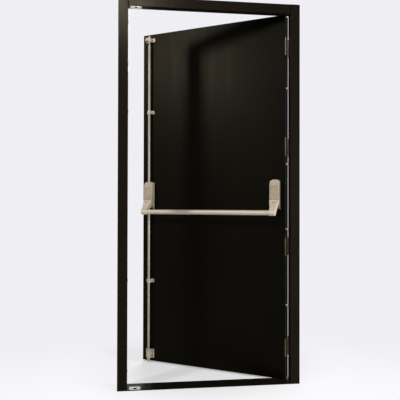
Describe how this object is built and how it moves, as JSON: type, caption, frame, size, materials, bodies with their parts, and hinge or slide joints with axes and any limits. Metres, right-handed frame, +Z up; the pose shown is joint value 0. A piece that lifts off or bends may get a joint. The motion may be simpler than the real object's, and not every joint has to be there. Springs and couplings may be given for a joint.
{
  "type": "fire exit door",
  "caption": "Steel fire exit door leaf hung in a folded steel frame, with a push bar panic device that draws vertical rods and bolts out of keeps in the head and threshold.",
  "frame": {"origin": "on the floor under the middle of the threshold, half way through the frame's depth", "axes": "+X towards the hinge jamb, +Y to the outside, the way the leaf opens, +Z up"},
  "size_m": [0.995, 0.5722, 2.095],
  "materials": {
    "frame_paint": "semi-gloss dark brown paint",
    "leaf_paint": "semi-gloss dark brown paint",
    "wool_core": "mineral wool",
    "seal_rubber": "matte",
    "hinge_steel": "dull zinc plating",
    "device_silver": "satin silver paint",
    "bar_aluminium": "satin",
    "bracket_silver": "satin silver paint",
    "rod_steel": "satin",
    "keep_steel": "bright stainless",
    "inner_steel": "zinc plated"
  },
  "bodies": {
    "frame": {"lock_jamb": "frame_paint", "hinge_jamb": "frame_paint", "head": "frame_paint", "threshold": "frame_paint", "lock_seal": "seal_rubber", "hinge_seal": "seal_rubber", "head_seal": "seal_rubber", "rebate_wiper": "seal_rubber", "top_keep": "keep_steel", "bottom_keep": "keep_steel", "hinge_1_frame_flap": "hinge_steel", "hinge_1_pin": "hinge_steel", "hinge_2_frame_flap": "hinge_steel", "hinge_2_pin": "hinge_steel", "hinge_3_frame_flap": "hinge_steel", "hinge_3_pin": "hinge_steel", "hinge_4_frame_flap": "hinge_steel", "hinge_4_pin": "hinge_steel"},
    "leaf": {"leaf_inner_skin": "leaf_paint", "leaf_outer_skin": "leaf_paint", "leaf_core": "wool_core", "hinge_stile": "inner_steel", "lock_stile": "inner_steel", "dog_bolts": "rod_steel", "hinge_1_door_flap": "hinge_steel", "hinge_2_door_flap": "hinge_steel", "hinge_3_door_flap": "hinge_steel", "hinge_4_door_flap": "hinge_steel", "active_base": "inner_steel", "active_cover": "device_silver", "active_spindle": "inner_steel", "pinion_stud": "inner_steel", "return_spring": "inner_steel", "passive_base": "inner_steel", "passive_cover": "device_silver", "passive_spindle": "inner_steel", "upper_rod_guide": "bracket_silver", "lower_rod_guide": "bracket_silver", "bottom_guide": "bracket_silver", "top_guide": "bracket_silver", "trip_pin": "inner_steel"},
    "push_bar": {"push_bar": "bar_aluminium", "active_arm": "device_silver", "passive_arm": "device_silver"},
    "upper_bolt": {"upper_rack": "inner_steel", "upper_rod": "rod_steel", "top_bolt": "rod_steel"},
    "lower_bolt": {"lower_rack": "inner_steel", "lower_rod": "rod_steel", "bottom_bolt": "rod_steel"},
    "pinion": {"drive_pinion": "inner_steel"},
    "trip": {"trip_lever": "bracket_silver"}
  },
  "joints": [
    {"name": "door_swing", "type": "hinge", "parent": "frame", "child": "leaf", "pos_m": [0.45775, 0.0493, 0], "axis": [0, 0, -1], "range_deg": [-31, 79]},
    {"name": "bar_press", "type": "hinge", "parent": "leaf", "child": "push_bar", "pos_m": [0.03304, 0.23123, 1.021], "axis": [-0.8572, 0.515, 0], "range_deg": [0, 25]},
    {"name": "upper_bolt_slide", "type": "slide", "parent": "leaf", "child": "upper_bolt", "axis": [0, 0, 1], "range_m": [0, 0.0096]},
    {"name": "lower_bolt_slide", "type": "slide", "parent": "leaf", "child": "lower_bolt", "axis": [0, 0, -1], "range_m": [0, 0.0096], "deforming": ["return_spring"]},
    {"name": "pinion_spin", "type": "hinge", "parent": "leaf", "child": "pinion", "pos_m": [-0.31995, 0.42816, 1.075], "axis": [-0.515, -0.8572, 0], "range_deg": [0, 61]},
    {"name": "trip_tilt", "type": "hinge", "parent": "leaf", "child": "trip", "pos_m": [-0.33298, 0.44532, 2.0185], "axis": [-0.8572, 0.515, 0], "range_deg": [0, 15], "stiffness_Nm_per_rad": 0.2, "springref_deg": -11.46}
  ],
  "couplings": [
    {"joint": "upper_bolt_slide", "follows": "bar_press", "m_per_rad": 0.021826},
    {"joint": "lower_bolt_slide", "follows": "bar_press", "m_per_rad": 0.021826},
    {"joint": "pinion_spin", "follows": "bar_press", "ratio": 2.4251}
  ]
}
